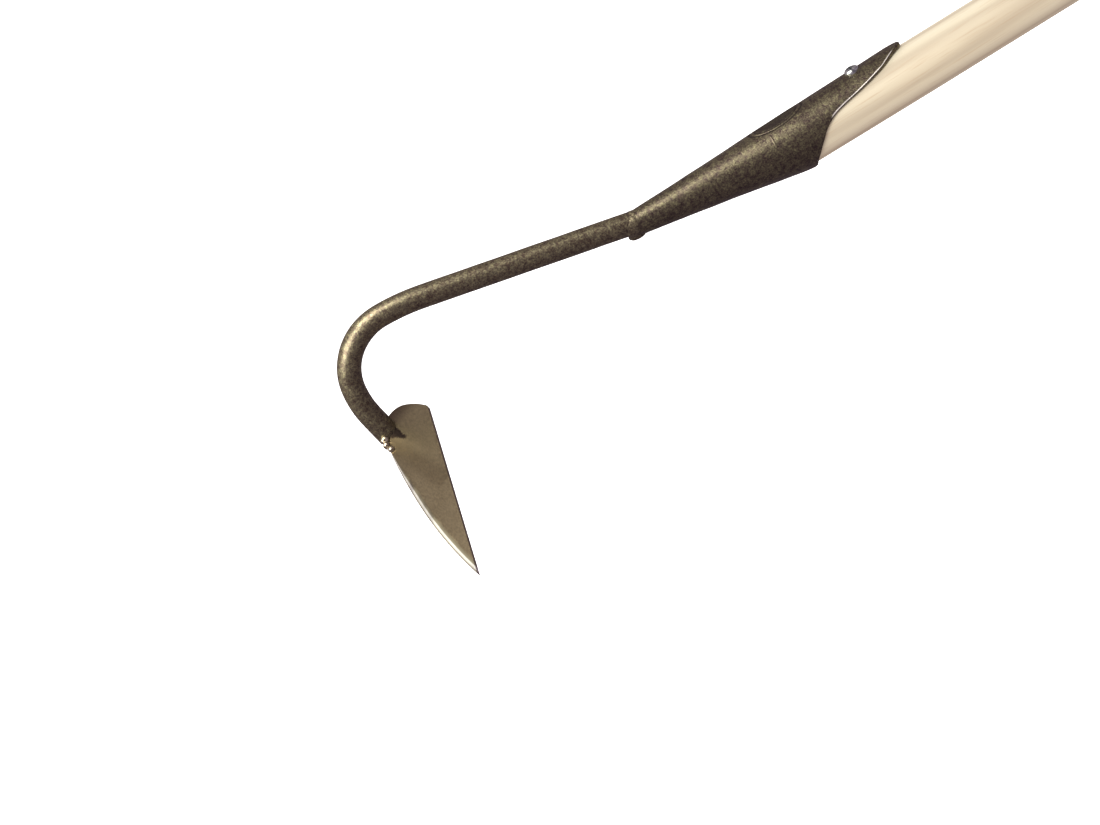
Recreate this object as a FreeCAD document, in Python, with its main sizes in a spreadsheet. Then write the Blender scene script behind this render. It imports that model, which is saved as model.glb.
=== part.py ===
import FreeCAD, Part
import math
import os
import Sketcher

# Hand weeder: a ground knife blade welded to a bent steel rod, whose other end is welded into a
# rolled sheet socket on a round ash handle. Nothing on it moves.
#
# Frame, in millimetres: the tool lies on its side. +X runs along the handle's axis, away from
# the blade. +Y is the tool's back, where the socket's long tab and its screw are. +Z is up, and
# the blade's tip points that way. The rod's bend lies in the XY plane. The origin is on the
# handle's axis, inside the grip.

SHEET = "dims"

DIMENSIONS = {
    # handle: a straight turned ash dowel, eased under the tab and tapered inside the cone
    "handle_diameter": 28.0,
    "butt_station": 124.0,
    "butt_rounding": 9.0,
    "grip_start_station": -137.5,
    "eased_diameter": 27.6,
    "eased_height": 0.2,
    "handle_end_station": -276.0,
    "handle_end_diameter": 13.3,
    "handle_end_height": 6.56,
    # socket: rolled steel sheet, round at three stations, with each circle's centre raised
    "sheet_thickness": 1.8,
    "joint_station": -297.0,
    "socket_end_diameter": 12.7,
    "socket_end_height": 8.4,
    "cone_middle_station": -240.0,
    "cone_middle_diameter": 24.2,
    "cone_middle_height": 3.4,
    "mouth_station": -203.5,
    "mouth_diameter": 32.0,
    "mouth_height": 0.5,
    # socket's mouth: one long tab on the back, and a rounded lobe on either side
    "tab_tip_station": -138.5,
    "lobe_station": -203.0,
    "lobe_height": -11.0,
    "lobe_corner_width": 4.0,
    "lobe_corner_radius": 7.0,
    "throat_station": -182.5,
    "throat_height": 6.8,
    "throat_radius": 45.0,
    "tab_side_station": -147.0,
    "tab_side_height": 12.7,
    "tab_side_radius": 150.0,
    "tab_tip_radius": 10.0,
    "tab_tip_rounding": 0.6,
    "cut_clearance": 4.0,
    "seam_gap": 1.6,
    "seam_end_station": -286.0,
    "seam_reach": 3.0,
    # screw that holds the tab to the handle
    "screw_station": -166.6,
    "screw_seat_height": 15.9,
    "screw_head_diameter": 7.6,
    "screw_head_height": 2.4,
    "screw_crown_height": 1.3,
    "screw_crown_width": 1.5,
    "screw_crown_radius": 1.6,
    "screw_shank_diameter": 4.0,
    "screw_length": 16.0,
    "screw_point_length": 4.0,
    "screw_tip_radius": 0.3,
    "screw_recess_width": 1.1,
    "screw_recess_span": 4.4,
    "screw_recess_depth": 1.3,
    "spot_face_diameter": 8.4,
    # neck: round rod, from the socket to the blade, through one bend
    "rod_diameter": 12.0,
    "neck_height": 9.4,
    "neck_slope": 13.3,
    "neck_straight": 109.8,
    "elbow_entry_radius": 109.0,
    "elbow_entry_turn": 11.7,
    "elbow_radius": 29.8,
    "elbow_turn": 84.2,
    "elbow_exit_radius": 52.3,
    "elbow_exit_turn": 17.8,
    "neck_overrun": 12.0,
    # weld between the rod and the socket
    "neck_weld_bead": 1.3,
    "neck_weld_bite": 0.4,
    "neck_weld_length": 9.0,
    "neck_weld_stand": 1.6,
    # blade: flat steel plate with a ground bevel along its curved side
    "blade_thickness": 2.5,
    "contact_station": -454.0,
    "contact_height": -14.7,
    "contact_along": 119.2,
    "contact_across": 25.4,
    "blade_yaw": 11.2,
    "blade_roll": 20.5,
    "blade_sweep": 13.7,
    "heel_corner_along": 116.6,
    "heel_corner_step": 2.5,
    "heel_corner_radius": 3.0,
    "heel_far_along": 127.9,
    "heel_far_across": 12.6,
    "heel_radius": 32.8,
    "shoulder_along": 119.5,
    "shoulder_across": 25.9,
    "shoulder_radius": 10.0,
    "edge_start_along": 102.0,
    "shoulder_side_radius": 120.0,
    "edge_radius": 351.5,
    "edge_centre_across": -323.85,
    "edge_centre_along": 136.5,
    "spare_width": 6.0,
    "spare_length": 24.0,
    "bevel_width": 3.6,
    "bevel_depth": 2.0,
    # weld between the rod and the blade
    "blade_weld_radius": 7.8,
    "blade_weld_height": 2.6,
    "bead_radius": 2.3,
    "bead_shrink": 0.2,
    "bead_spacing": 3.4,
    "bead_overhang": 0.7,
    "bead_depth": 0.8,
}


def add_sheet(doc):
    """Puts the driving dimensions in the document's spreadsheet, one alias to a row."""
    sheet = doc.addObject("Spreadsheet::Sheet", SHEET)
    for row, (alias, value) in enumerate(DIMENSIONS.items(), start=1):
        sheet.set(f"A{row}", alias.replace("_", " "))
        sheet.set(f"B{row}", str(value))
        sheet.setAlias(f"B{row}", alias)
    doc.recompute()
    return sheet


def cell(alias):
    """The expression that reads one driving dimension."""
    return f"{SHEET}.{alias}"


def half(alias):
    """The expression for half of one driving dimension."""
    return f"({SHEET}.{alias} / 2)"


def raised_circle(body, name, station, diameter, height, inward="0"):
    """A circle across the handle's axis, read from the sheet and shrunk by a wall."""
    return place_round(body, name, cell(station), f"({half(diameter)} - {inward})", cell(height))


def new_body(doc, name):
    body = doc.addObject("PartDesign::Body", name)
    body.Label = name
    return body


def new_sketch(body, name, role, offset="0"):
    """A sketch on one of the body's own origin planes, moved along that plane's normal."""
    sketch = body.newObject("Sketcher::SketchObject", name)
    plane = next(item for item in body.Origin.OriginFeatures if item.Role == role)
    sketch.AttachmentSupport = (plane, [""])
    sketch.MapMode = "FlatFace"
    sketch.setExpression("AttachmentOffset.Base.z", offset)
    return sketch


def bind(sketch, kind, *where, to):
    """Adds a dimensional constraint whose value follows an expression."""
    value = float(sketch.evalExpression(to))
    if kind == "Angle":
        value = math.radians(value)
        to = f"({to}) * 1 deg"
    index = sketch.addConstraint(Sketcher.Constraint(kind, *where, value))
    sketch.setExpression(f"Constraints[{index}]", to)


def place(sketch, geometry, end, across, up):
    """Fixes one point of a sketch by its distances from the sketch's origin."""
    bind(sketch, "DistanceX", -1, 1, geometry, end, to=across)
    bind(sketch, "DistanceY", -1, 1, geometry, end, to=up)


def add_circle(sketch, radius, across="0", up="0"):
    """Draws a circle with its centre and radius bound to expressions."""
    centre = FreeCAD.Vector(*(float(sketch.evalExpression(text)) for text in (across, up)), 0)
    size = float(sketch.evalExpression(radius))
    circle = sketch.addGeometry(Part.Circle(centre, FreeCAD.Vector(0, 0, 1), size))
    bind(sketch, "Radius", circle, to=radius)
    place(sketch, circle, 3, across, up)


def arc_between(start, end, radius):
    """The short arc from start to end, and whether it runs anticlockwise.

    A positive radius bulges to the right of the way from start to end, which runs anticlockwise.
    """
    chord = end - start
    left = FreeCAD.Vector(-chord.y, chord.x, 0).normalize()
    rise = math.sqrt(radius**2 - (chord.Length / 2) ** 2)
    centre = (start + end) * 0.5 + left * (rise if radius > 0 else -rise)
    first, last = (start, end) if radius > 0 else (end, start)
    angles = [math.atan2(point.y - centre.y, point.x - centre.x) for point in (first, last)]
    circle = Part.Circle(centre, FreeCAD.Vector(0, 0, 1), abs(radius))
    return Part.ArcOfCircle(circle, angles[0], angles[1]), radius > 0


def add_outline(sketch, corners):
    """Draws a closed outline from (across, up, side, radius) corners, given as expressions.

    side is "line", "left" or "right": the shape of the run from this corner to the next, and
    the side of the way to which its arc bulges.
    """
    points = [
        FreeCAD.Vector(float(sketch.evalExpression(x)), float(sketch.evalExpression(y)), 0)
        for x, y, _, _ in corners
    ]
    ends = []
    for number, (_, _, side, radius) in enumerate(corners):
        start = points[number]
        end = points[(number + 1) % len(points)]
        if side == "line":
            run = sketch.addGeometry(Part.LineSegment(start, end))
            ends.append((run, 1, 2))
            continue
        size = float(sketch.evalExpression(radius)) * (1 if side == "right" else -1)
        arc, forward = arc_between(start, end, size)
        run = sketch.addGeometry(arc)
        ends.append((run, 1, 2) if forward else (run, 2, 1))
    for number, (run, head, _) in enumerate(ends):
        before, _, tail = ends[number - 1]
        across, up, side, radius = corners[number]
        sketch.addConstraint(Sketcher.Constraint("Coincident", before, tail, run, head))
        place(sketch, run, head, across, up)
        if side != "line":
            bind(sketch, "Radius", run, to=radius)


def pad(body, name, sketch, length, reverse=False):
    feature = body.newObject("PartDesign::Pad", name)
    feature.Profile = sketch
    feature.setExpression("Length", length)
    feature.Reversed = reverse
    return feature


def pocket(body, name, sketch, length=None, reverse=False, both_ways=False):
    """Cuts a sketch through all, or to a length, and checks that it removes material."""
    before = body.Shape.Volume
    feature = body.newObject("PartDesign::Pocket", name)
    feature.Profile = sketch
    feature.Reversed = reverse
    feature.Midplane = both_ways
    if length is None:
        feature.Type = "ThroughAll"
    else:
        feature.setExpression("Length", length)
    body.Document.recompute()
    if body.Shape.Volume > before - 0.01:
        raise RuntimeError(f"{name} removes nothing")
    return feature


def loft(body, kind, name, first, second):
    feature = body.newObject(f"PartDesign::{kind}Loft", name)
    feature.Profile = first
    feature.Sections = [second]
    feature.Ruled = True
    return feature


def place_round(body, name, station, radius, height="0"):
    """A circle across the handle's axis, with its centre raised towards the tool's back."""
    sketch = new_sketch(body, name, "YZ_Plane", station)
    add_circle(sketch, radius, across=height)
    return sketch


def make_handle(doc):
    """The ash dowel: straight to its domed butt, and tapered on its underside in the socket."""
    body = new_body(doc, "handle")
    grip = place_round(body, "grip_circle", cell("grip_start_station"), half("handle_diameter"))
    pad(body, "grip", grip, f"{cell('butt_station')} - {cell('grip_start_station')}")
    doc.recompute()
    wall = cell("sheet_thickness")
    end = ("handle_end_station", "handle_end_diameter", "handle_end_height")
    middle = ("cone_middle_station", "cone_middle_diameter", "cone_middle_height", wall)
    mouth = ("mouth_station", "eased_diameter", "eased_height")
    start = place_round(body, "start_circle", cell("grip_start_station"), half("handle_diameter"))
    loft(body, "Additive", "eased", raised_circle(body, "eased_circle", *mouth), start)
    doc.recompute()
    for name, small, large in (("upper_taper", middle, mouth), ("lower_taper", end, middle)):
        first = raised_circle(body, f"{name}_small_circle", *small)
        second = raised_circle(body, f"{name}_large_circle", *large)
        loft(body, "Additive", name, first, second)
        doc.recompute()
    solid = body.Tip
    starts = [edge.BoundBox.XMin for edge in solid.Shape.Edges]
    dome = body.newObject("PartDesign::Fillet", "butt_dome")
    dome.Base = (solid, [f"Edge{starts.index(max(starts)) + 1}"])
    dome.setExpression("Radius", cell("butt_rounding"))
    doc.recompute()
    pilot = new_sketch(body, "pilot_circle", "XZ_Plane", f"-{cell('screw_seat_height')}")
    add_circle(pilot, half("screw_shank_diameter"), across=cell("screw_station"))
    pocket(body, "pilot_hole", pilot, cell("screw_length"), reverse=True)
    return body


def make_socket(doc):
    """The rolled socket: a cone from the rod, then a sleeve cut back to one long tab."""
    body = new_body(doc, "socket")
    stations = [
        ("joint_station", "socket_end_diameter", "socket_end_height"),
        ("cone_middle_station", "cone_middle_diameter", "cone_middle_height"),
        ("mouth_station", "mouth_diameter", "mouth_height"),
    ]
    sleeve = raised_circle(body, "sleeve_circle", *stations[-1])
    pad(body, "sleeve", sleeve, f"{cell('tab_tip_station')} - {cell('mouth_station')}")
    doc.recompute()
    wall = cell("sheet_thickness")
    for kind, layer, inward in (("Additive", "skin", "0"), ("Subtractive", "bore", wall)):
        for number in range(len(stations) - 1):
            name = f"{layer}_{number + 1}"
            first = raised_circle(body, f"{name}_start", *stations[number], inward)
            second = raised_circle(body, f"{name}_end", *stations[number + 1], inward)
            loft(body, kind, name, first, second)
            doc.recompute()
    bore = raised_circle(body, "sleeve_bore_circle", *stations[-1], wall)
    doc.recompute()
    pocket(body, "sleeve_bore", bore, reverse=True)

    clear = f"({half('mouth_diameter')} + {cell('cut_clearance')})"
    past_tip = f"({cell('tab_tip_station')} + {cell('cut_clearance')})"
    side = new_sketch(body, "mouth_outline", "XY_Plane")
    lobe = cell("lobe_station")
    rounding = cell("lobe_corner_radius")
    lobe_foot = f"({lobe} - {cell('lobe_corner_width')})"
    throat = (cell("throat_station"), cell("throat_height"))
    flank = (cell("tab_side_station"), cell("tab_side_height"))
    tip_height = f"({half('mouth_diameter')} - {cell('tab_tip_rounding')})"
    add_outline(
        side,
        [
            (lobe_foot, f"-{clear}", "line", None),
            (past_tip, f"-{clear}", "line", None),
            (past_tip, clear, "line", None),
            (cell("tab_tip_station"), clear, "line", None),
            (cell("tab_tip_station"), tip_height, "left", cell("tab_tip_radius")),
            (*flank, "right", cell("tab_side_radius")),
            (*throat, "right", cell("throat_radius")),
            (lobe, cell("lobe_height"), "left", rounding),
            (lobe_foot, f"-{half('mouth_diameter')}", "line", None),
        ],
    )
    doc.recompute()
    pocket(body, "mouth_cut", side, both_ways=True)

    seam = new_sketch(body, "seam_outline", "XZ_Plane", clear)
    gap = half("seam_gap")
    seam_end = cell("seam_end_station")
    seam_out = cell("throat_station")
    add_outline(
        seam,
        [
            (seam_end, f"-{gap}", "line", None),
            (seam_out, f"-{gap}", "line", None),
            (seam_out, gap, "line", None),
            (seam_end, gap, "line", None),
        ],
    )
    doc.recompute()
    depth = f"{clear} + {cell('socket_end_height')} - {cell('seam_reach')}"
    pocket(body, "seam", seam, depth)

    top = new_sketch(body, "spot_face_circle", "XZ_Plane", f"-{clear}")
    add_circle(top, half("spot_face_diameter"), across=cell("screw_station"))
    doc.recompute()
    depth = f"{clear} - {cell('screw_seat_height')}"
    pocket(body, "spot_face", top, depth, reverse=True)
    hole = new_sketch(body, "screw_hole_circle", "XZ_Plane", f"-{clear}")
    add_circle(hole, half("screw_shank_diameter"), across=cell("screw_station"))
    doc.recompute()
    depth = f"{clear} - {half('handle_diameter')} + {cell('cut_clearance')}"
    pocket(body, "screw_hole", hole, depth, reverse=True)
    return body


def make_screw(doc):
    """The pan-head wood screw, pointing into the handle, with a cross recess in its head."""
    body = new_body(doc, "socket_screw")
    seat = cell("screw_seat_height")
    head_radius = half("screw_head_diameter")
    shank_radius = half("screw_shank_diameter")
    top = f"({seat} + {cell('screw_head_height')})"
    rim = f"({top} - {cell('screw_crown_height')})"
    bottom = f"({seat} - {cell('screw_length')})"
    station = cell("screw_station")
    section = new_sketch(body, "screw_section", "XY_Plane")
    shank_side = f"{station} + {shank_radius}"
    head_side = f"{station} + {head_radius}"
    crown_side = f"{station} + {head_radius} - {cell('screw_crown_width')}"
    add_outline(
        section,
        [
            (station, bottom, "line", None),
            (f"{station} + {cell('screw_tip_radius')}", bottom, "line", None),
            (shank_side, f"{bottom} + {cell('screw_point_length')}", "line", None),
            (shank_side, seat, "line", None),
            (head_side, seat, "line", None),
            (head_side, rim, "right", cell("screw_crown_radius")),
            (crown_side, top, "line", None),
            (station, top, "line", None),
        ],
    )
    turned = body.newObject("PartDesign::Revolution", "turned")
    turned.Profile = section
    turned.ReferenceAxis = (section, ["Edge8"])
    doc.recompute()
    for name, along, across in (
        ("recess_along", half("screw_recess_span"), half("screw_recess_width")),
        ("recess_across", half("screw_recess_width"), half("screw_recess_span")),
    ):
        slot = new_sketch(body, f"{name}_outline", "XZ_Plane", f"-{top}")
        add_outline(
            slot,
            [
                (f"{station} - {along}", f"-{across}", "line", None),
                (f"{station} + {along}", f"-{across}", "line", None),
                (f"{station} + {along}", across, "line", None),
                (f"{station} - {along}", across, "line", None),
            ],
        )
        doc.recompute()
        pocket(body, name, slot, cell("screw_recess_depth"), reverse=True)
    return body


def walk_path(sketch):
    """The neck's centre line, as (kind, length or radius, turn) steps from the socket."""
    steps = [
        ("line", cell("neck_straight"), None),
        ("arc", cell("elbow_entry_radius"), cell("elbow_entry_turn")),
        ("arc", cell("elbow_radius"), cell("elbow_turn")),
        ("arc", cell("elbow_exit_radius"), cell("elbow_exit_turn")),
        ("line", cell("neck_overrun"), None),
    ]
    point = FreeCAD.Vector(
        float(sketch.evalExpression(cell("joint_station"))),
        float(sketch.evalExpression(cell("neck_height"))),
        0,
    )
    heading = math.radians(180 - float(sketch.evalExpression(cell("neck_slope"))))
    for kind, size_text, turn_text in steps:
        size = float(sketch.evalExpression(size_text))
        if kind == "line":
            after = point + FreeCAD.Vector(math.cos(heading), math.sin(heading), 0) * size
            run = sketch.addGeometry(Part.LineSegment(point, after))
            bind(sketch, "Distance", run, to=size_text)
        else:
            turn = math.radians(float(sketch.evalExpression(turn_text)))
            centre = point + FreeCAD.Vector(-math.sin(heading), math.cos(heading), 0) * size
            begin = heading - math.pi / 2
            circle = Part.Circle(centre, FreeCAD.Vector(0, 0, 1), size)
            run = sketch.addGeometry(Part.ArcOfCircle(circle, begin, begin + turn))
            heading += turn
            after = centre + FreeCAD.Vector(math.sin(heading), -math.cos(heading), 0) * size
            bind(sketch, "Radius", run, to=size_text)
            bind(sketch, "Angle", run, to=turn_text)
        if run == 0:
            place(sketch, run, 1, cell("joint_station"), cell("neck_height"))
            bind(sketch, "Angle", run, to=f"180 - {cell('neck_slope')}")
        else:
            sketch.addConstraint(Sketcher.Constraint("Tangent", run - 1, 2, run, 1))
        point = after
    return point


def rotation_about(axis, degrees):
    return FreeCAD.Rotation(FreeCAD.Vector(*axis), degrees)


def blade_placement(sheet):
    """Where the blade's own frame goes: x across, y along to the tip, z out of its near face."""
    upright = FreeCAD.Rotation(
        FreeCAD.Vector(-1, 0, 0), FreeCAD.Vector(0, 0, 1), FreeCAD.Vector(0, 1, 0), "XYZ"
    )
    turn = rotation_about((0, 0, 1), sheet.blade_yaw)
    turn = turn.multiply(rotation_about((1, 0, 0), sheet.blade_roll))
    turn = turn.multiply(rotation_about((0, 1, 0), -sheet.blade_sweep))
    turn = turn.multiply(upright)
    contact = FreeCAD.Vector(sheet.contact_station, sheet.contact_height, 0)
    local = FreeCAD.Vector(sheet.contact_across, -sheet.contact_along, 0)
    return FreeCAD.Placement(contact - turn.multVec(local), turn)


def make_blade(doc, sheet):
    """The blade: a flat plate with a round heel, one straight side and one bevelled, curved side.

    The plate starts with a strip of spare metal beyond its tip. The bevel is ground along the
    whole curved side, and then the straight side is cut through both, which leaves the tip.
    """
    body = new_body(doc, "blade")
    outline = new_sketch(body, "blade_outline", "XY_Plane")
    spare = cell("spare_width")
    spare_start = f"-{cell('spare_length')}"
    centre_across = cell("edge_centre_across")
    centre_along = cell("edge_centre_along")
    radius = cell("edge_radius")
    spare_tip = f"(sqrt({radius}^2 - ({spare} + {centre_across})^2) - {centre_along})"
    start = cell("edge_start_along")
    rise = f"(sqrt({radius}^2 - ({centre_along} - {start})^2))"
    corner = cell("heel_corner_along")
    step = cell("heel_corner_step")
    add_outline(
        outline,
        [
            (f"-{spare}", spare_tip, "line", None),
            (f"-{spare}", spare_start, "line", None),
            ("0", f"{spare_start} - {spare}", "line", None),
            ("0", f"-{corner}", "right", cell("heel_corner_radius")),
            (f"{step} / 2", f"-({corner} + {step})", "right", cell("heel_radius")),
            (
                cell("heel_far_across"),
                f"-{cell('heel_far_along')}",
                "right",
                cell("shoulder_radius"),
            ),
            (
                cell("shoulder_across"),
                f"-{cell('shoulder_along')}",
                "right",
                cell("shoulder_side_radius"),
            ),
            (f"({centre_across} + {rise})", f"-{start}", "right", radius),
        ],
    )
    pad(body, "plate", outline, cell("blade_thickness"), reverse=True)
    doc.recompute()

    wheel = new_sketch(body, "bevel_section", "XZ_Plane", centre_along)
    wheel.setExpression("AttachmentOffset.Base.x", centre_across)
    width = cell("bevel_width")
    inner = f"({cell('edge_radius')} - {width})"
    outer = f"({cell('edge_radius')} + {width})"
    add_outline(
        wheel,
        [
            (inner, "0", "line", None),
            (outer, f"-2 * {cell('bevel_depth')}", "line", None),
            (outer, width, "line", None),
            (inner, width, "line", None),
        ],
    )
    doc.recompute()
    before = body.Shape.Volume
    bevel = body.newObject("PartDesign::Groove", "bevel")
    bevel.Profile = wheel
    bevel.ReferenceAxis = (wheel, ["V_Axis"])
    doc.recompute()
    if body.Shape.Volume > before - 1:
        raise RuntimeError("the bevel removes nothing")

    trim = new_sketch(body, "straight_side_outline", "XY_Plane")
    outside = f"-2 * {spare}"
    add_outline(
        trim,
        [
            (outside, f"{spare_start} - 2 * {spare}", "line", None),
            ("0", f"{spare_start} - 2 * {spare}", "line", None),
            ("0", f"{spare_tip} + {spare}", "line", None),
            (outside, f"{spare_tip} + {spare}", "line", None),
        ],
    )
    doc.recompute()
    pocket(body, "straight_side", trim)
    body.Placement = blade_placement(sheet)
    return body


def make_neck(doc, sheet, blade):
    """The bent rod, cut square at the socket, and notched over the shoulder of the blade."""
    body = new_body(doc, "neck_sweep")
    path = new_sketch(body, "neck_path", "XY_Plane")
    walk_path(path)
    doc.recompute()
    section = body.newObject("Sketcher::SketchObject", "neck_section")
    section.AttachmentSupport = (path, ["Edge1"])
    section.MapMode = "NormalToEdge"
    section.MapPathParameter = 0
    add_circle(section, half("rod_diameter"))
    rod = body.newObject("PartDesign::AdditivePipe", "rod")
    rod.Profile = section
    rod.Spine = (path, [])
    doc.recompute()

    joint = cell("joint_station")
    reach = cell("rod_diameter")
    square = new_sketch(body, "joint_face_outline", "XY_Plane")
    add_outline(
        square,
        [
            (joint, f"{cell('neck_height')} - {reach}", "line", None),
            (f"{joint} + {reach}", f"{cell('neck_height')} - {reach}", "line", None),
            (f"{joint} + {reach}", f"{cell('neck_height')} + {reach}", "line", None),
            (joint, f"{cell('neck_height')} + {reach}", "line", None),
        ],
    )
    doc.recompute()
    pocket(body, "joint_face", square, both_ways=True)

    back = body.newObject("Sketcher::SketchObject", "blade_back_circle")
    add_circle(back, cell("rod_diameter"), cell("contact_across"), f"-{cell('contact_along')}")
    place_on_blade = blade_placement(sheet)
    back.Placement = place_on_blade.multiply(
        FreeCAD.Placement(FreeCAD.Vector(0, 0, -sheet.blade_thickness), FreeCAD.Rotation())
    )
    doc.recompute()
    pocket(body, "blade_back_cut", back, cell("rod_diameter") + " * 2")
    doc.recompute()

    notched = doc.addObject("Part::Cut", "neck_rod")
    notched.Label = "neck_rod"
    notched.Base = body
    notched.Tool = blade
    return notched


def cut_from(doc, name, filler, tools):
    """Cuts the pieces that a weld joins out of its filler, and gives the last cut the name."""
    for number, tool in enumerate(tools, start=1):
        cut = doc.addObject("Part::Cut", f"{name}_cut_{number}")
        cut.Base = filler
        cut.Tool = tool
        filler = cut
    filler.Label = name
    return filler


def make_neck_weld(doc, sheet, neck, socket):
    """The bead round the rod at the socket's small end, with a lump on the underside."""
    ring = doc.addObject("Part::Torus", "neck_weld_ring")
    ring.setExpression("Radius1", f"{half('rod_diameter')} - {cell('neck_weld_bite')}")
    ring.setExpression("Radius2", cell("neck_weld_bead"))
    height = (sheet.neck_height + sheet.socket_end_height) / 2
    across_handle = rotation_about((0, 1, 0), 90)
    ring.Placement = FreeCAD.Placement(
        FreeCAD.Vector(sheet.joint_station, height, 0), across_handle
    )
    lump = doc.addObject("Part::Ellipsoid", "neck_weld_lump")
    lump.setExpression("Radius2", f"{cell('neck_weld_length')} / 2")
    lump.setExpression("Radius3", cell("rod_diameter") + " / 4")
    lump.setExpression("Radius1", cell("rod_diameter") + " / 4")
    lump_height = height - sheet.rod_diameter / 2 + sheet.rod_diameter / 4 - sheet.neck_weld_stand
    lump.Placement = FreeCAD.Placement(
        FreeCAD.Vector(sheet.joint_station, lump_height, 0), FreeCAD.Rotation()
    )
    filler = doc.addObject("Part::Fuse", "neck_weld_filler")
    filler.Base = ring
    filler.Tool = lump
    return cut_from(doc, "neck_weld", filler, [neck, socket])


def make_blade_weld(doc, sheet, neck, blade):
    """The collar round the rod at the blade, and the beads along the blade's shoulder."""
    collar = doc.addObject("Part::Cone", "blade_weld_collar")
    collar.setExpression("Radius1", cell("blade_weld_radius"))
    collar.setExpression("Radius2", half("rod_diameter"))
    collar.setExpression("Height", f"{cell('blade_weld_height')} + {cell('blade_thickness')}")
    on_blade = blade_placement(sheet)
    spot = FreeCAD.Vector(sheet.contact_across, -sheet.contact_along, -sheet.blade_thickness)
    collar.Placement = on_blade.multiply(FreeCAD.Placement(spot, FreeCAD.Rotation()))
    beads = [collar]
    for number in range(3):
        bead = doc.addObject("Part::Sphere", f"blade_weld_bead_{number + 1}")
        bead.setExpression("Radius", f"{cell('bead_radius')} - {number} * {cell('bead_shrink')}")
        along = sheet.contact_along - sheet.rod_diameter / 2 - number * sheet.bead_spacing
        across = sheet.contact_across + sheet.bead_overhang
        spot = FreeCAD.Vector(across, -along, -sheet.bead_depth)
        on_blade = blade_placement(sheet)
        bead.Placement = on_blade.multiply(FreeCAD.Placement(spot, FreeCAD.Rotation()))
        beads.append(bead)
    filler = doc.addObject("Part::MultiFuse", "blade_weld_filler")
    filler.Shapes = beads
    return cut_from(doc, "blade_weld", filler, [neck, blade])


def check_document(doc, nodes):
    """Stops unless every object is computed and every node is a valid solid."""
    for item in doc.Objects:
        if "Invalid" in item.State or "Error" in item.State:
            raise RuntimeError(f"{item.Name} failed: {item.getStatusString()}")
    for node in nodes:
        if node.Shape.isNull() or not node.Shape.isValid():
            raise RuntimeError(f"{node.Label} has no valid shape")
        if len(node.Shape.Solids) != 1:
            raise RuntimeError(f"{node.Label} has {len(node.Shape.Solids)} solids")


def main():
    doc = FreeCAD.newDocument("hand_weeder")
    sheet = add_sheet(doc)
    handle = make_handle(doc)
    socket = make_socket(doc)
    screw = make_screw(doc)
    blade = make_blade(doc, sheet)
    neck = make_neck(doc, sheet, blade)
    doc.recompute()
    neck_weld = make_neck_weld(doc, sheet, neck, socket)
    blade_weld = make_blade_weld(doc, sheet, neck, blade)
    doc.recompute()
    nodes = [handle, socket, screw, neck, neck_weld, blade, blade_weld]
    check_document(doc, nodes)
    os.makedirs("parts", exist_ok=True)
    for node in nodes:
        node.Shape.exportStep(f"parts/{node.Label}.step")
        print(f"{node.Label}: {node.Shape.Volume:.0f} mm3")


main()
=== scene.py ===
import math

import bmesh
import bpy
from mathutils import Matrix, Vector, noise


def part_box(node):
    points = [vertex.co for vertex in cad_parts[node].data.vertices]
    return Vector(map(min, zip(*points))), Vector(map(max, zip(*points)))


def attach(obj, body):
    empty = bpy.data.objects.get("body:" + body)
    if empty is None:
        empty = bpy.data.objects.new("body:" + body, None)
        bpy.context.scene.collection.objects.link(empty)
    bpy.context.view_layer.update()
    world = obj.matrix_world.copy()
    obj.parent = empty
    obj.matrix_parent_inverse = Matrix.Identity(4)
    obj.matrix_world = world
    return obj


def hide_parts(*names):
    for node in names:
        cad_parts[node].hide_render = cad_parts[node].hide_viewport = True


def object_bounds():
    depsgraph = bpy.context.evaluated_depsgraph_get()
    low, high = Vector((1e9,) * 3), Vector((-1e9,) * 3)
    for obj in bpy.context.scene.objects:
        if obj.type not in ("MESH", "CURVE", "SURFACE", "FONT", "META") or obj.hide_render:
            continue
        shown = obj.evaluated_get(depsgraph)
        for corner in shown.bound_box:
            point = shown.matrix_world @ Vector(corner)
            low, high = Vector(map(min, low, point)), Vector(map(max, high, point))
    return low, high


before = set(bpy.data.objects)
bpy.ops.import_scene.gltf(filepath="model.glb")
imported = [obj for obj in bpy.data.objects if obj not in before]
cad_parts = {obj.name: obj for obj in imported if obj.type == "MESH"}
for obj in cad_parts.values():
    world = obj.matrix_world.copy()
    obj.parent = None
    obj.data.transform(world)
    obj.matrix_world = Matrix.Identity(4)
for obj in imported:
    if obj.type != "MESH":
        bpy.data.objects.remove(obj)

CAD_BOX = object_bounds()
MM = 0.001

# Sizes are in millimetres and angles in degrees, in the CAD model's frame: +X along the handle
# towards its butt, +Y the tool's back, +Z towards the blade's tip, origin at the grip.
SOCKET_LOW, SOCKET_HIGH = (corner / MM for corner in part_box("socket"))
HANDLE_LOW, HANDLE_HIGH = (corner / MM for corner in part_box("handle"))

JOINT_X = SOCKET_LOW.x
TAB_TIP_X = SOCKET_HIGH.x
SHEET = 1.8
# (station, height) points on the socket's back and underside, from the photo's outline
SOCKET_BACK = [(-297, 14.75), (-270, 14.95), (-240, 15.45), (-220, 15.85), (-205, 16.05),
               (-175, 16.4), (-138, 16.9)]
SOCKET_UNDERSIDE = [(-297, 2.05), (-270, -2.9), (-240, -8.65), (-220, -12.75), (-205, -15.35),
                    (-175, -15.4), (-138, -15.2)]
MOUTH_X = -203.5
SEAM_END_X = -286.0
SEAM_GAP = 1.6
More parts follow.
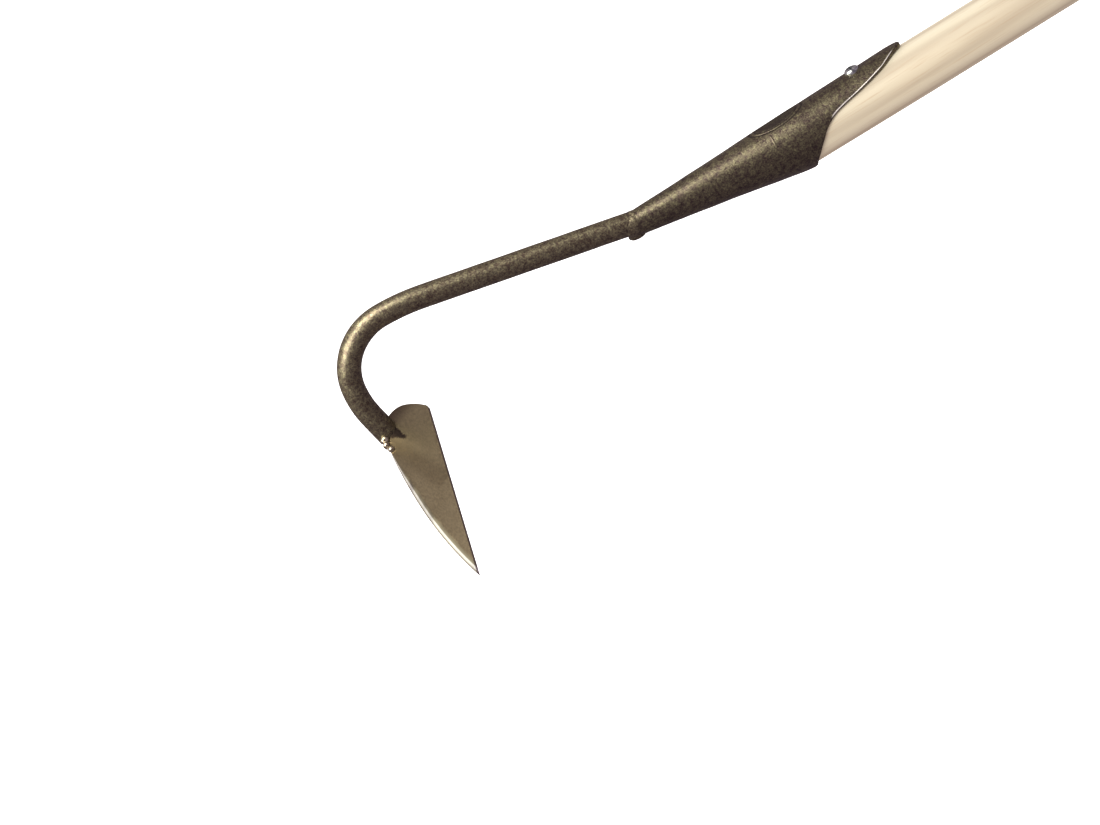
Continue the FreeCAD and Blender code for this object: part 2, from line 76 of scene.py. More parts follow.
# (angle from the tool's back, distance behind the tab's tip) points on the socket's mouth,
# most of them measured on the photo's outline
MOUTH_SETBACK = [
    (0, 1.0), (6, 1.8), (12, 4.0), (18, 6.6), (28, 11.0), (36, 15.2), (44.5, 22.4), (51, 29.5),
    (57, 38.0), (60.5, 42.5), (64, 46.0), (70, 49.8), (76, 52.6), (82, 54.8), (92, 57.4),
    (104, 60.3), (117, 62.8), (128, 64.6), (140, 65.4), (150, 66.0), (158, 67.0), (170, 70.0),
    (180, 73.5),
]
EDGE_ROUNDING = 0.5
# the sheet's mesh is finest between these stations, where its marks are, and it is fitted to
# the mouth over at least this last stretch
FINE_START_X, FINE_END_X = -228.0, -194.0
MOUTH_RUN = 12.0
STAMP_X = -211.0
STAMP_LENGTH = 30.0
STAMP_WIDTH = 14.4
STAMP_GROOVE = 0.28
STAMP_LINE_GAP = 1.5
STIPPLE_DEPTH = 0.10
# a scratch that runs round the socket beside the stamp, fading in and out between these arcs
SCRATCH_X = -217.9
SCRATCH_START, SCRATCH_END = (8.8, 9.6), (15.6, 16.4)
SCRATCH_DEPTH = 0.10
# where the mouth's rim is worn and painted bright as a highlight: depths behind it, and angles
# from the tool's back
RIM_WEAR_AND_HIGHLIGHT_BACK = (-0.95, -0.75), (-0.35, -0.2)
RIM_WEAR_AND_HIGHLIGHT_ANGLES = (12, 20), (60, 70)
# how deep the sheet's outside is toned, and the arc that two degrees make on it
SKIN_DEPTH = 0.75
TWO_DEGREES = 0.55

HANDLE_RADIUS = HANDLE_HIGH.z
BUTT_X = HANDLE_HIGH.x
HANDLE_END_X = HANDLE_LOW.x
BUTT_ROUNDING = 9.0
# (station, radius, height) of the handle's circles, up to the start of its butt
HANDLE_SECTIONS = [
    (HANDLE_END_X, 6.6, 6.56), (-240.0, 10.3, 3.4), (MOUTH_X, 13.8, 0.2),
    (-137.5, HANDLE_RADIUS, 0), (BUTT_X - BUTT_ROUNDING, HANDLE_RADIUS, 0),
]

ROD_RADIUS = 6.0
NECK_HEIGHT = 9.4
NECK_SLOPE = 13.3
# the rod's straight runs (length, 0) and bends (radius, angle), from the socket to the blade
NECK_RUNS = [(109.8, 0), (109.0, 11.7), (29.8, 84.2), (52.3, 17.8), (14, 0)]
BEND_SWELL = 0.18
BEND_SWELL_GROWTH = (-425, -445)
# the rod's end is cut to sink into the blade, and drops past the blade's edge
CUT_SINK, CUT_DROP = 0.3, 1.7
CUT_EDGE = (25, 28)

CONTACT = Vector((-454.0, -14.7, 0))
CONTACT_ON_BLADE = Vector((25.4, -119.2, 0))
BLADE_YAW, BLADE_ROLL, BLADE_SWEEP = 11.2, 20.5, 13.7
BLADE_THICKNESS = 2.5
BLADE_ROUNDING = 0.3
CORNER_RADIUS, HEEL_RADIUS, SHOULDER_RADIUS, BACK_RADIUS = 3.0, 32.8, 10.0, 120.0
EDGE_CENTRE = (-323.85, -136.5)
EDGE_RADIUS = 351.5
BEVEL_WIDTH = 3.6
BEVEL_GROWTH = (-116, -66)
BEVEL_DEPTH = 2.2
# painted reflections: dark marks on the blade by its weld, from and to, that stand for what it
# mirrors of the rod
ROD_REFLECTION_WEDGE = (24.4, -118.0), (15.7, -106.7)
ROD_REFLECTION_BAND = (22.0, -104.0), (2.0, -66.0)
MARK_RAGGEDNESS = 2.4

WELD_RING_RADIUS = 4.75
WELD_RING_LUMPS = 48
WELD_VOXEL = 0.22

# the darkest and lightest of each lacquer copy's mottling: socket and rod share one lacquer,
# painted darker on the socket as painted shade and lighter on the rod as painted light
SOCKET_LACQUER_PAINTED_DARKER = (0.064, 0.045, 0.040), (0.158, 0.143, 0.088)
ROD_LACQUER_PAINTED_LIGHTER = (0.092, 0.068, 0.050), (0.215, 0.195, 0.124)


# ---------------------------------------------------------------- shapes

def smooth(low, high, value):
    """0 below low, 1 above high, and a smooth step between."""
    share = min(1.0, max(0.0, (value - low) / (high - low)))
    return share * share * (3 - 2 * share)


def mix(first, second, share):
    return first + (second - first) * share


def between(points, at):
    """A smooth curve through (place, value) points, read at one place."""
    last = len(points) - 2
    part = next((i for i in range(last) if at <= points[i + 1][0]), last)
    (x0, y0), (x1, y1) = points[part], points[part + 1]
    before = points[max(part - 1, 0)]
    after = points[min(part + 2, len(points) - 1)]
    slope0 = (y1 - before[1]) / (x1 - before[0])
    slope1 = (after[1] - y0) / (after[0] - x0)
    span = x1 - x0
    share = min(1.0, max(0.0, (at - x0) / span))
    a = (1 + 2 * share) * (1 - share) ** 2
    b = share * (1 - share) ** 2
    c = share**2 * (3 - 2 * share)
    d = share**2 * (share - 1)
    return a * y0 + b * span * slope0 + c * y1 + d * span * slope1


def roughly(place, size, amount, seed=0.0):
    """Smooth seeded noise of about the given size, in millimetres."""
    return amount * noise.noise(Vector(place) / size + Vector((seed, seed * 1.7, -seed)))


def add_piece(name, mesh, material, node=None):
    """Links a mesh as a piece of the tool, which rides on its one body."""
    piece = bpy.data.objects.new(name, mesh)
    bpy.context.scene.collection.objects.link(piece)
    piece.data.materials.append(material)
    for polygon in piece.data.polygons:
        polygon.use_smooth = True
    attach(piece, "root")
    if node:
        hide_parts(node)
    return piece


def mesh_of(name, points, faces):
    """A mesh from points in millimetres, with its faces turned outwards."""
    mesh = bpy.data.meshes.new(name)
    mesh.from_pydata([Vector(point) * MM for point in points], [], faces)
    work = bmesh.new()
    work.from_mesh(mesh)
    bmesh.ops.remove_doubles(work, verts=work.verts, dist=1e-6)
    bmesh.ops.recalc_face_normals(work, faces=work.faces)
    work.to_mesh(mesh)
    work.free()
    return mesh


def loft(rings, closed=True, capped=True):
    """Points and faces of a skin through rings of equal length."""
    size = len(rings[0])
    points = [point for ring in rings for point in ring]
    faces = []
    for i in range(len(rings) - 1):
        for j in range(size if closed else size - 1):
            k = (j + 1) % size
            faces.append((i * size + j, i * size + k, (i + 1) * size + k, (i + 1) * size + j))
    if capped:
        faces.append(tuple(range(size)))
        faces.append(tuple((len(rings) - 1) * size + j for j in range(size)))
    return points, faces


def spaced(*stops):
    """Places from stop to stop, where each later stop is (place, step)."""
    places = [stops[0]]
    for end, step in stops[1:]:
        start = places[-1]
        count = max(1, round(abs(end - start) / step))
        places += [mix(start, end, (i + 1) / count) for i in range(count)]
    return places


# ---------------------------------------------------------------- handle

def handle_ring(x, radius, height, columns=96):
    """A circle of points round the handle, with its centre at a height."""
    return [
        (
            x,
            height + radius * math.cos(2 * math.pi * j / columns),
            radius * math.sin(2 * math.pi * j / columns),
        )
        for j in range(columns)
    ]


def make_handle(material):
    """The ash dowel: tapered in the socket, straight, and domed at its butt."""
    rings = []
    for first, second in zip(HANDLE_SECTIONS, HANDLE_SECTIONS[1:]):
        for x in spaced(first[0], (second[0], 4))[:-1]:
            share = (x - first[0]) / (second[0] - first[0])
            radius, height = (mix(first[i], second[i], share) for i in (1, 2))
            rings.append(handle_ring(x, radius, height))
    for step in range(13):
        turn = math.radians(90 * step / 12)
        x = BUTT_X - BUTT_ROUNDING * (1 - math.sin(turn))
        rings.append(handle_ring(x, HANDLE_RADIUS - BUTT_ROUNDING * (1 - math.cos(turn)), 0))
    mesh = mesh_of("handle_wood", *loft(rings))
    return add_piece("handle_wood", mesh, material, "handle")


# ---------------------------------------------------------------- socket

def socket_size(x):
    """The socket's outer radius and the height of its centre at a station."""
    back, underside = between(SOCKET_BACK, x), between(SOCKET_UNDERSIDE, x)
    return (back - underside) / 2, (back + underside) / 2


def mouth_x(angle):
    """The station where the sheet ends, at an angle in degrees."""
    return TAB_TIP_X - between(MOUTH_SETBACK, abs(angle))


def ridge(distance, width):
    """1 on a line and 0 beyond half of its width."""
    return 1 - smooth(0.3, 1.0, abs(distance) / (width / 2))


def stamp_reach(x, arc):
    """How far a point is outside (over 0) or inside (under 0) the oval stamp's border."""
    reach = math.hypot((x - STAMP_X) / (STAMP_LENGTH / 2), arc / (STAMP_WIDTH / 2))
    return (reach - 1) * STAMP_WIDTH / 2


def marks_depth(x, arc):
    """How deep the stamp and the scratch are pressed at a station and an arc from the back."""
    across = stamp_reach(x, arc)
    depth = STAMP_GROOVE * (ridge(across, 1.0) + ridge(across + STAMP_LINE_GAP, 0.8))
    if across < -1.9:
        depth += STIPPLE_DEPTH + roughly((x * 0.6, arc * 1.3, 0), 0.75, 0.16, 2.0)
    scratch = ridge(x - SCRATCH_X + 0.05 * (arc - 12), 0.6) * smooth(*SCRATCH_START, arc)
    return depth - SCRATCH_DEPTH * scratch * (1 - smooth(*SCRATCH_END, arc))


def marks_tone(x, arc):
    """How much darker than the plain lacquer the stamp is at a point."""
    across = stamp_reach(x, arc)
    lines = ridge(across, 1.1) + ridge(across + STAMP_LINE_GAP, 0.9)
    return min(1.0, lines + 0.85 * (1 - smooth(-2.1, -1.7, across)))


def socket_point(x, angle, inward, marked):
    """A point of the sheet, so far inward of its outside, with or without its marks."""
    radius, height = socket_size(x)
    if marked:
        radius -= marks_depth(x, math.radians(angle) * radius)
    radius += roughly((x, angle * 0.28, 0), 11.0, 0.10, 3.0) - inward
    turn = math.radians(angle)
    return (x, height + radius * math.cos(turn), radius * math.sin(turn))


def socket_column(angle):
    """(station, inward) places on the sheet's outside at an angle, to its rounded edge."""
    end = mouth_x(angle)
    radius, _ = socket_size(end)
    steep = (mouth_x(angle + 1) - mouth_x(angle - 1)) / 2 / math.radians(radius)
    stretch = EDGE_ROUNDING * min(5.0, math.hypot(1, steep))
    knee = min(FINE_END_X, end - MOUTH_RUN)
    squeeze = (end - stretch - knee) / (TAB_TIP_X - knee)
    places = []
    for x in spaced(JOINT_X, (FINE_START_X, 2.3), (FINE_END_X, 0.3), (TAB_TIP_X, 1.2)):
        places.append((min(x, knee + max(0, x - knee) * squeeze), 0.0))
    for turn in (30, 60, 90):
        forward = math.sin(math.radians(turn))
        down = 1 - math.cos(math.radians(turn))
        places.append((end - stretch * (1 - forward), EDGE_ROUNDING * down))
    return places


def socket_tone(x, y, z):
    """The tone at a point of the sheet: over 0 in the stamp, under 0 on the worn rim with its
    painted highlight.
    """
    radius, height = socket_size(x)
    if math.hypot(z, y - height) <= radius - SKIN_DEPTH:
        return 0.0
    turn = math.atan2(z, y - height)
    angle = math.degrees(turn)
    steep = (mouth_x(angle + 1) - mouth_x(angle - 1)) / TWO_DEGREES
    back = (x - mouth_x(angle)) / math.hypot(1, steep)
    # the worn rim, painted bright as a highlight between these depths and angles
    near, far = RIM_WEAR_AND_HIGHLIGHT_BACK
    rim = smooth(*near, back) * (1 - smooth(*far, back))
    start, end = RIM_WEAR_AND_HIGHLIGHT_ANGLES
    rim *= smooth(*start, angle) * (1 - smooth(*end, angle))
    return marks_tone(x, turn * radius) - rim


def make_socket(material):
    """The rolled sheet, as one skin out to its mouth and seam and back along the inside."""
    angles = spaced(-180, (-32, 3.7), (72, 1.04), (180, 3.0))
    columns = [socket_column(angle) for angle in angles]
    rings = []
    for row in range(len(columns[0])):
        outside, inside = [], []
        for angle, column in zip(angles, columns):
            x, inward = column[row]
            radius, _ = socket_size(x)
            gap = math.degrees(SEAM_GAP / 2 / radius) * smooth(SEAM_END_X - 4, SEAM_END_X, x)
            held = max(-180 + gap, min(180 - gap, angle))
            outside.append(socket_point(x, held, inward, row < len(columns[0]) - 3))
            inside.append(socket_point(x, held, SHEET, False))
        rings.append(outside + inside[::-1])
    points, faces = loft(rings, closed=True, capped=False)
    size, half = len(rings[0]), len(angles)
    for row in (0, len(rings) - 1):
        for j in range(half - 1):
            a, b = row * size + j, row * size + j + 1
            faces.append((a, b, row * size + size - 2 - j, row * size + size - 1 - j))
    mesh = mesh_of("socket_sheet", points, faces)
    mesh.set_sharp_from_angle(angle=math.radians(50))
    tone = mesh.attributes.new("tone", "FLOAT", "POINT")
    for vertex, value in zip(mesh.vertices, tone.data):
        value.value = socket_tone(*(vertex.co / MM))
    return add_piece("socket_sheet", mesh, material, "socket")


# ---------------------------------------------------------------- neck

def heading_vector(heading):
    return Vector((math.cos(heading), math.sin(heading), 0))


def neck_path(step=1.0):
    """(centre, direction) places along the rod's centre line, from the socket."""
    heading = math.radians(180 - NECK_SLOPE)
    point = Vector((JOINT_X, NECK_HEIGHT, 0))
    places = [(point.copy(), heading_vector(heading))]
    for size, turn in NECK_RUNS:
        length = size if turn == 0 else size * math.radians(turn)
        count = max(2, round(length / step))
        for _ in range(count):
            bend = math.radians(turn) / count
            heading += bend / 2
            point = point + heading_vector(heading) * (length / count)
            heading += bend / 2
            places.append((point, heading_vector(heading)))
    return places


def make_neck(material, blade):
    """The bent rod, with the slight flattening and unevenness that bending leaves."""
    columns = 48
    places = neck_path()
    back = blade.inverted()
    rings = []
    for number, (centre, ahead) in enumerate(places):
        side = Vector((-ahead.y, ahead.x, 0))
        ring = []
        for j in range(columns):
            turn = 2 * math.pi * j / columns
            out = side * math.cos(turn) + Vector((0, 0, 1)) * math.sin(turn)
            swell = BEND_SWELL * smooth(*BEND_SWELL_GROWTH, centre.x)
            radius = ROD_RADIUS - 0.07 + swell + roughly(centre + out * 6, 16.0, 0.08, 1.0)
            spot = centre + out * radius
            on_blade = back @ spot
            drop = CUT_DROP * smooth(*CUT_EDGE, on_blade.x)
            depth = on_blade.z + BLADE_THICKNESS - CUT_SINK + drop
            if number > len(places) * 0.8 and depth < 0:
                spot = spot + ahead * depth
            ring.append(spot)
        rings.append(ring)
    mesh = mesh_of("neck_rod_bar", *loft(rings))
    return add_piece("neck_rod_bar", mesh, material, "neck_rod")


# ---------------------------------------------------------------- blade

def blade_matrix():
    """From the blade's frame (across, to the tip, out of its near face) to the tool's."""
    upright = Matrix(((-1, 0, 0), (0, 0, 1), (0, 1, 0))).to_4x4()
    turn = Matrix.Rotation(math.radians(BLADE_YAW), 4, "Z")
    turn = turn @ Matrix.Rotation(math.radians(BLADE_ROLL), 4, "X")
    turn = turn @ Matrix.Rotation(math.radians(-BLADE_SWEEP), 4, "Y")
    turn = turn @ upright
    return Matrix.Translation(CONTACT - turn @ CONTACT_ON_BLADE) @ turn


def arc_points(start, end, radius, step):
    """Points on the arc that bulges to the right of the way from start to end."""
    start, end = Vector(start), Vector(end)
    chord = end - start
    left = Vector((-chord.y, chord.x)).normalized()
    centre = (start + end) / 2 + left * math.sqrt(radius**2 - (chord.length / 2) ** 2)
    first = math.atan2(start.y - centre.y, start.x - centre.x)
    span = 2 * math.asin(chord.length / 2 / radius)
    count = max(2, round(radius * span / step))
    turns = [first + span * i / count for i in range(count)]
    return [centre + Vector((math.cos(turn), math.sin(turn))) * radius for turn in turns]


def blade_outline():
    """The outline: from the tip down the straight side, round the heel, up the curved side."""
    corner, heel, far = (0.0, -116.6), (1.25, -119.1), (12.6, -127.9)
    shoulder, start, tip = (25.9, -119.5), (25.91, -102.0), (0.0, 0.0)
    points = [Vector((0, -y)) for y in spaced(0.0, (20, 1.0), (116.6, 3.0))][:-1]
    points += arc_points(corner, heel, CORNER_RADIUS, 0.5)
    points += arc_points(heel, far, HEEL_RADIUS, 1.0)
    points += arc_points(far, shoulder, SHOULDER_RADIUS, 0.8)
    points += arc_points(shoulder, start, BACK_RADIUS, 1.2)
    points += arc_points(start, tip, EDGE_RADIUS, 1.0)
    return points


def bevel_share(point):
    """How much of the full bevel the outline has at a point."""
    on_curve = point.x > 0.05 and point.y > -112
    return smooth(*BEVEL_GROWTH, point.y) if on_curve else 0.0


def tip_room(point, reach):
    """How far a ring may step inward at a point, which is less close to the tip."""
    room = 0.4 * abs(point.y) if abs(point.y) < 3 else reach
    return max(room, 0.01)


def blade_rings():
    """Rings of the blade's solid, from the middle of its near face to that of its far face."""
    outline = blade_outline()
    count = len(outline)
    inward = []
    for i, point in enumerate(outline):
        along = outline[(i + 1) % count] - outline[i - 1]
        inward.append(Vector((-along.y, along.x)).normalized())
    rings = []
    for share in (1.0, 0.98, 0.66, 0.33, 0.1, 0.03, 0.0):
        ring = []
        for point, way in zip(outline, inward):
            ground = bevel_share(point)
            width = BEVEL_WIDTH * (1 + roughly((point.y, 0, 0), 7.0, 0.22, 5.0))
            reach = mix(BLADE_ROUNDING * 1.4, width, ground) * share
            narrow = point.x / max(0.05, -way.x) * 0.94 if way.x < -0.05 else reach
            room = tip_room(point, reach)
            spot = point + way * min(reach, narrow if ground else reach, room)
            level = math.sqrt(max(0.0, 1 - (1 - min(1, share * 1.4)) ** 2))
            plain = -BLADE_ROUNDING * (1 - level)
            bevel = -BEVEL_DEPTH * (1 - min(1.0, (spot - point).length / width))
            ring.append((spot.x, spot.y, mix(plain, bevel, ground)))
        rings.append(ring)
    for share, above in ((0.0, BLADE_ROUNDING), (0.4, 0.08), (1, 0)):
        depth = BLADE_THICKNESS - above
        ring = []
        for point, way in zip(outline, inward):
            room = tip_room(point, BLADE_ROUNDING)
            spot = point + way * min(BLADE_ROUNDING * share, room)
            ring.append((spot.x, spot.y, -depth))
        rings.append(ring)
    return rings


def make_blade(material, place):
    """The blade, with flat ends to its skin and a crease along its bevel."""
    rings = [[place @ Vector(point) for point in ring] for ring in blade_rings()]
    mesh = mesh_of("blade_plate", *loft(rings))
    piece = add_piece("blade_plate", mesh, material, "blade")
    for polygon in piece.data.polygons:
        polygon.use_smooth = len(polygon.vertices) == 4
    piece.data.set_sharp_from_angle(angle=math.radians(20))
    return piece


# ---------------------------------------------------------------- welds

def make_lumps(name, lumps, uneven, material, node):
    """Joins rounded lumps of (centre, three radii) into one uneven bead."""
    work = bmesh.new()
    for centre, radii in lumps:
        scale = Matrix.Diagonal((*[radius * MM for radius in radii], 1))
        place = Matrix.Translation(Vector(centre) * MM) @ scale
        bmesh.ops.create_icosphere(work, subdivisions=4, radius=1, matrix=place)
    mesh = bpy.data.meshes.new(name)
    work.to_mesh(mesh)
    work.free()
    piece = add_piece(name, mesh, material, node)
    join = piece.modifiers.new("join", "REMESH")
    join.mode = "VOXEL"
    join.voxel_size = WELD_VOXEL * MM
    join.use_smooth_shade = True
    ease = piece.modifiers.new("ease", "SMOOTH")
    ease.factor = 0.5
    ease.iterations = 3
    shown = bpy.context.evaluated_depsgraph_get()
    joined = bpy.data.meshes.new_from_object(piece.evaluated_get(shown))
    piece.modifiers.clear()
    piece.data = joined
    for vertex in joined.vertices:
        spot = vertex.co / MM
        vertex.co += vertex.normal * roughly(spot, 1.6, uneven, 8.0) * MM
    for polygon in joined.polygons:
        polygon.use_smooth = True
    return piece


def make_neck_weld(material):
    """The bead at the socket's small end, flush on the back and lumpy on the underside."""
    centre = Vector((JOINT_X, NECK_HEIGHT - 0.6, 0))
    lumps = []
    for step in range(WELD_RING_LUMPS):
        turn = 2 * math.pi * step / WELD_RING_LUMPS
        out = Vector((0, math.cos(turn), math.sin(turn)))
        reach = WELD_RING_RADIUS + 0.08 * math.sin(step * 0.9)
        lumps.append((centre + out * reach, (5.2, 1.75, 1.75)))
    lumps.append((centre + Vector((-0.4, -5.2, 1.2)), (5.2, 2.6, 3.0)))
    lumps.append((centre + Vector((-0.6, -4.9, -2.0)), (4.0, 2.3, 2.4)))
    return make_lumps("neck_weld_bead", lumps, 0.12, material, "neck_weld")


def make_blade_weld(material, place):
    """The beads between the rod's end and the blade's shoulder."""
    spots = [
        ((26.6, -112.6, 0.6), (2.4, 2.4, 2.4)),
        ((26.6, -108.8, 0.2), (1.9, 2.1, 1.9)),
        ((24.9, -105.0, 0.1), (1.7, 1.8, 1.8)),
        ((26.0, -115.6, 0.2), (1.8, 1.8, 1.9)),
    ]
    lumps = [(place @ Vector(spot), radii) for spot, radii in spots]
    return make_lumps("blade_weld_bead", lumps, 0.16, material, "blade_weld")


# ---------------------------------------------------------------- materials

class Graph:
    """A material's node tree, with short calls to add and join nodes."""

    def __init__(self, name):
        self.material = bpy.data.materials.new(name)
        self.material.use_nodes = True
        self.tree = self.material.node_tree
        self.shader = self.tree.nodes["Principled BSDF"]

    def add(self, kind, **values):
        node = self.tree.nodes.new("ShaderNode" + kind)
        for key, value in values.items():
            if key in node.inputs:
                node.inputs[key].default_value = value
            else:
                setattr(node, key, value)
        return node

    def join(self, source, target):
        self.tree.links.new(source, target)

    def place(self, scale=(1, 1, 1), turn=(0, 0, 0), move=(0, 0, 0)):
        """Object coordinates, scaled, turned and moved."""
        where = self.add("TexCoord")
        shape = self.add("Mapping")
        shape.inputs["Scale"].default_value = scale
        shape.inputs["Rotation"].default_value = turn
        shape.inputs["Location"].default_value = move
        self.join(where.outputs["Object"], shape.inputs["Vector"])
        return shape.outputs["Vector"]

    def noise(self, vector, scale, detail=4.0, rough=0.55):
        node = self.add("TexNoise")
        node.inputs["Scale"].default_value = scale
        node.inputs["Detail"].default_value = detail
        node.inputs["Roughness"].default_value = rough
        self.join(vector, node.inputs["Vector"])
        return node.outputs["Fac"]

    def ramp(self, value, *stops):
        """A colour ramp with (place, colour) stops."""
        node = self.add("ValToRGB")
        while len(node.color_ramp.elements) < len(stops):
            node.color_ramp.elements.new(0.5)
        for element, (spot, colour) in zip(node.color_ramp.elements, stops):
            element.position = spot
            element.color = (*colour, 1)
        self.join(value, node.inputs["Fac"])
        return node.outputs["Color"]

    def levels(self, value, low, high, to_low=0.0, to_high=1.0):
        """A value eased from one range to another."""
        node = self.add("MapRange", interpolation_type="SMOOTHSTEP")
        node.inputs["From Min"].default_value = low
        node.inputs["From Max"].default_value = high
        node.inputs["To Min"].default_value = to_low
        node.inputs["To Max"].default_value = to_high
        self.join(value, node.inputs["Value"])
        return node.outputs["Result"]

    def blend(self, share, first, second, mode="MIX"):
        node = self.add("Mix", data_type="RGBA", blend_type=mode)
        for socket, value in zip((node.inputs[0], node.inputs[6], node.inputs[7]),
                                 (share, first, second)):
            if isinstance(value, bpy.types.NodeSocket):
                self.join(value, socket)
            elif isinstance(value, tuple):
                socket.default_value = (*value, 1)
            else:
                socket.default_value = value
        return node.outputs[2]

    def math(self, operation, first, second):
        node = self.add("Math", operation=operation)
        for socket, value in zip(node.inputs, (first, second)):
            if isinstance(value, bpy.types.NodeSocket):
                self.join(value, socket)
            else:
                socket.default_value = value
        return node.outputs["Value"]

    def stroke(self, place, start, end, wide, narrow, soft):
        """1 on a ragged tapering mark between two points of the blade's face, 0 elsewhere."""
        start, end = Vector((*start, 0)), Vector((*end, 0))
        ahead = (end - start).normalized()
        aside = Vector((-ahead.y, ahead.x, 0))
        spot = self.add("VectorMath", operation="SUBTRACT")
        self.join(self.place(), spot.inputs[0])
        spot.inputs[1].default_value = place @ start * MM
        reach = []
        for way in (ahead, aside):
            dot = self.add("VectorMath", operation="DOT_PRODUCT")
            self.join(spot.outputs[0], dot.inputs[0])
            dot.inputs[1].default_value = place.to_3x3() @ way / MM
            reach.append(dot.outputs["Value"])
        ragged = self.math("MULTIPLY", self.noise(self.place(), 700, 3), MARK_RAGGEDNESS)
        length = (end - start).length
        half = self.levels(reach[0], 0.0, length, wide, narrow)
        off = self.math("SUBTRACT", self.math("ABSOLUTE", reach[1], 0.0), half)
        middle = MARK_RAGGEDNESS / 2
        outside = self.math("ADD", off, ragged)
        body = self.levels(outside, middle - soft, middle + soft, 1.0, 0.0)
        past = self.math("ADD", reach[0], ragged)
        tail = self.levels(past, length, length + MARK_RAGGEDNESS, 1.0, 0.0)
        return self.math("MULTIPLY", body, tail)

    def bump(self, height, distance, strength=1.0, before=None):
        node = self.add("Bump")
        node.inputs["Strength"].default_value = strength
        node.inputs["Distance"].default_value = distance
        self.join(height, node.inputs["Height"])
        if before is not None:
            self.join(before, node.inputs["Normal"])
        return node.outputs["Normal"]

    def finish(self, colour, rough, normal, metal=0.0):
        self.join(colour, self.shader.inputs["Base Color"])
        self.join(rough, self.shader.inputs["Roughness"])
        self.join(normal, self.shader.inputs["Normal"])
        self.shader.inputs["Metallic"].default_value = metal
        return self.material


def lacquer_material(name, dark, light):
    """Thin dark lacquer over forged steel: purple-brown, mottled olive, dark in the stamp, and
    painted bright as a highlight on the worn mouth rim.
    """
    graph = Graph(name)
    where = graph.place()
    speckle = graph.noise(where, 1300, 3, 0.7)
    cloud = graph.noise(where, 420, 4, 0.65)
    base = graph.ramp(cloud, (0.34, dark), (0.66, light))
    dots = graph.ramp(speckle, (0.34, (0.45, 0.40, 0.48)), (0.52, (0.95, 0.95, 0.95)),
                      (0.70, (1.7, 1.75, 1.5)))
    colour = graph.blend(0.9, base, dots, "MULTIPLY")
    tone = graph.add("Attribute", attribute_name="tone").outputs["Fac"]
    rim = graph.math("MULTIPLY", tone, -1.0)
    colour = graph.blend(graph.math("MULTIPLY", tone, 0.92), colour, (0.022, 0.016, 0.016))
    # painted highlight: the worn mouth rim turned near white where the light catches it
    colour = graph.blend(graph.levels(rim, 0.15, 0.7), colour, (0.92, 0.90, 0.82))
    rough = graph.levels(speckle, 0.3, 0.7, 0.33, 0.48)
    rough = graph.math("MAXIMUM", rough, graph.levels(tone, 0.0, 1.0, 0.0, 0.8))
    fine = graph.bump(speckle, 0.00012, 0.8)
    normal = graph.bump(cloud, 0.0003, 0.35, fine)
    return graph.finish(colour, rough, normal, metal=0.85)


def blade_material(place):
    """Satin ground steel with a fine cross grain, brighter where the edge is ground, with a
    painted highlight along the bevel and painted reflections of the rod by the weld.
    """
    graph = Graph("ground_steel")
    where = graph.place()
    fine = graph.noise(graph.place(scale=(1, 1, 0.05)), 1800, 3, 0.6)
    cloud = graph.noise(where, 60, 5, 0.6)
    base = graph.ramp(cloud, (0.25, (0.198, 0.160, 0.099)), (0.75, (0.240, 0.197, 0.125)))
    scratch = graph.ramp(fine, (0.35, (0.88, 0.88, 0.88)), (0.65, (1.1, 1.1, 1.1)))
    colour = graph.blend(0.8, base, scratch, "MULTIPLY")
    reach = graph.add("VectorMath", operation="DISTANCE")
    graph.join(where, reach.inputs[0])
    reach.inputs[1].default_value = place @ Vector((*EDGE_CENTRE, 0)) * MM
    height = graph.add("SeparateXYZ")
    graph.join(where, height.inputs[0])
    low, high = ((place @ Vector((20, along, 0))).z * MM for along in BEVEL_GROWTH)
    width = graph.levels(height.outputs["Z"], low, high, 0.4 * MM, BEVEL_WIDTH * MM)
    inside = graph.math("SUBTRACT", EDGE_RADIUS * MM, reach.outputs["Value"])
    share = graph.math("DIVIDE", inside, width)
    # the bevel's colours: ground steel with a painted highlight, a near-white stripe along its
    # middle, darker at the very edge
    edge = graph.ramp(share, (0.0, (0.10, 0.07, 0.05)), (0.10, (0.30, 0.26, 0.20)),
                      (0.20, (0.52, 0.50, 0.42)), (0.32, (0.88, 0.87, 0.80)),
                      (0.50, (0.88, 0.87, 0.80)), (0.62, (0.30, 0.27, 0.19)),
                      (0.95, (0.20, 0.17, 0.11)))
    # painted reflection of the rod: a near-black wedge and a faint dark band on the blade's
    # face
    painted_reflection_wedge = graph.stroke(place, *ROD_REFLECTION_WEDGE, 3.9, 0.9, 0.6)
    colour = graph.blend(graph.math("MULTIPLY", painted_reflection_wedge, 0.93), colour, (0.020, 0.013, 0.015))
    painted_reflection_band = graph.stroke(place, *ROD_REFLECTION_BAND, 3.6, 4.4, 2.6)
    colour = graph.blend(graph.math("MULTIPLY", painted_reflection_band, 0.38), colour, (0.10, 0.075, 0.045))
    ground = graph.levels(share, 0.96, 1.04, 1.0, 0.0)
    colour = graph.blend(ground, colour, edge)
    rough = graph.levels(fine, 0.3, 0.7, 0.32, 0.37)
    normal = graph.bump(fine, 0.00001, 0.2)
    return graph.finish(colour, rough, normal, metal=1.0)


def weld_material():
    """Bright bead metal with darker scale in its hollows."""
    graph = Graph("weld_metal")
    where = graph.place()
    scale = graph.noise(where, 700, 4, 0.65)
    colour = graph.ramp(scale, (0.35, (0.16, 0.12, 0.075)), (0.55, (0.50, 0.44, 0.32)),
                        (0.75, (0.80, 0.77, 0.64)))
    rough = graph.levels(scale, 0.3, 0.7, 0.20, 0.42)
    normal = graph.bump(scale, 0.0002, 0.6)
    return graph.finish(colour, rough, normal, metal=0.95)


